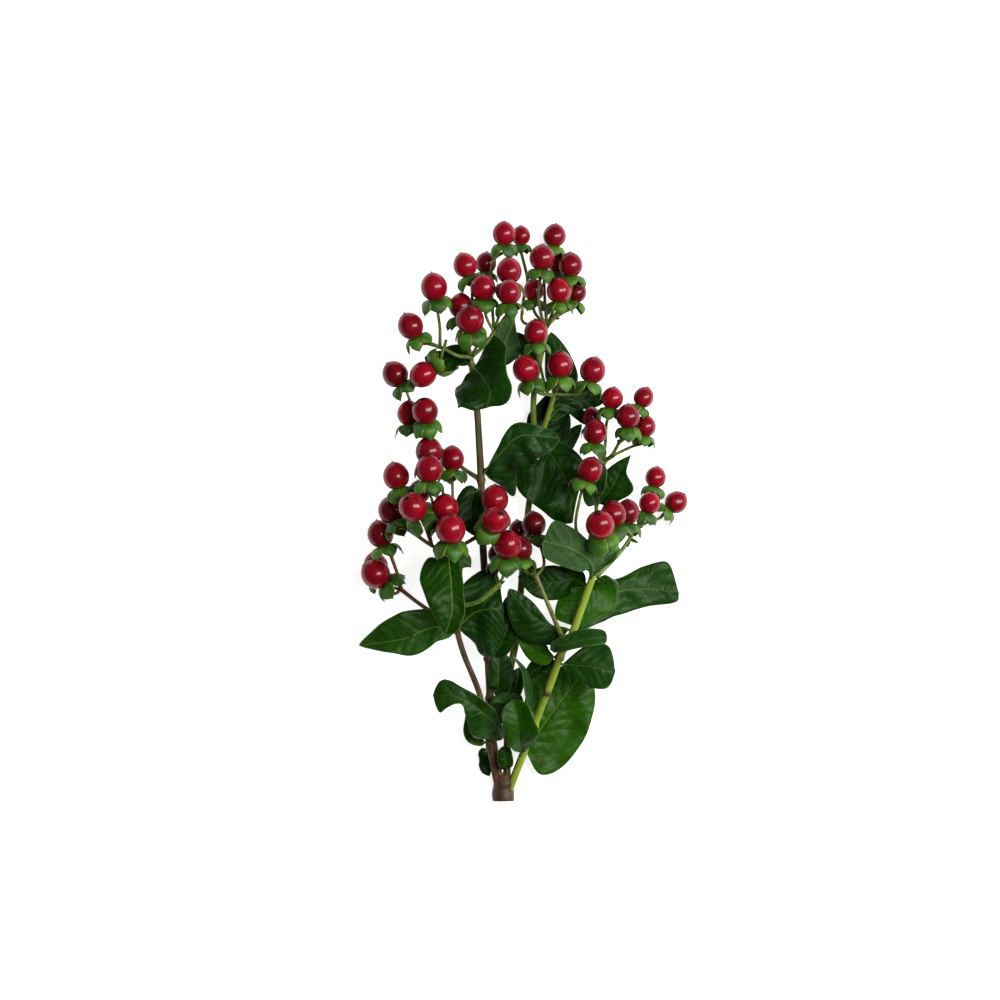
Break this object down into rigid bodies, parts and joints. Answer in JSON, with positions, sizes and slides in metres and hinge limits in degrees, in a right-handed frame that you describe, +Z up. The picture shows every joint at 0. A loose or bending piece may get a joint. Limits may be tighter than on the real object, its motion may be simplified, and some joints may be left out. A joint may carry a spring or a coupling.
{
  "type": "hypericum berry stem",
  "caption": "Cut branching stem of hypericum in fruit: slender leafy shoots with heads of egg-shaped red berries, each in a reflexed green calyx, and broad pointed leaves. Lies flat.",
  "frame": {"origin": "middle of the box in X and Y, on the surface that the stem lies on", "axes": "+X across the stem, +Y from the cut end to the tips of the fruiting heads, +Z up from the surface"},
  "size_m": [0.1647, 0.2914, 0.0658],
  "materials": {
    "bark": "smooth young bark, satin",
    "stalk": "green, satin",
    "berry": "glossy skin",
    "leaf_upper": "dark green, waxy, with sunk veins",
    "leaf_under": "pale grey-green, matt, with raised veins"
  },
  "bodies": {
    "root": {"stem": "bark", "head_top_left": "berry", "head_top_right": "berry", "head_centre_high": "berry", "head_right_high": "berry", "head_right_low": "berry", "head_right": "berry", "head_centre_low": "berry", "head_centre": "berry", "head_left": "berry", "head_left_low": "berry", "head_left_high": "berry", "leaf_top_curled": "leaf_upper", "leaf_top_left": "leaf_upper", "leaf_top_pale": "leaf_under", "leaf_high_left": "leaf_upper", "leaf_high_back": "leaf_upper", "leaf_high_dark": "leaf_upper", "leaf_high_pale": "leaf_under", "leaf_high_right": "leaf_upper", "leaf_high_thin": "leaf_upper", "leaf_centre_rising": "leaf_upper", "leaf_centre_hanging": "leaf_upper", "leaf_centre_broad": "leaf_upper", "leaf_right_pointed": "leaf_upper", "leaf_right_narrow": "leaf_upper", "leaf_underside": "leaf_under", "leaf_right_behind": "leaf_upper", "leaf_centre_shade": "leaf_upper", "leaf_right_long": "leaf_upper", "leaf_right_folded": "leaf_upper", "leaf_right_lower": "leaf_upper", "leaf_low_biggest": "leaf_upper", "leaf_centre_dark": "leaf_upper", "leaf_centre_light": "leaf_upper", "leaf_centre_small": "leaf_upper", "leaf_left_front": "leaf_upper", "leaf_left_small": "leaf_under", "leaf_left_long": "leaf_upper", "leaf_left_folded": "leaf_upper", "leaf_centre_upright": "leaf_upper", "leaf_low_upright": "leaf_upper", "leaf_low_waved": "leaf_upper", "leaf_low_left": "leaf_upper", "leaf_low_cupped": "leaf_upper", "leaf_low_edge": "leaf_upper", "leaf_low_shade": "leaf_upper", "leaf_base_left": "leaf_upper", "leaf_base_thin": "leaf_upper", "leaf_low_back": "leaf_upper"}
  },
  "joints": []
}
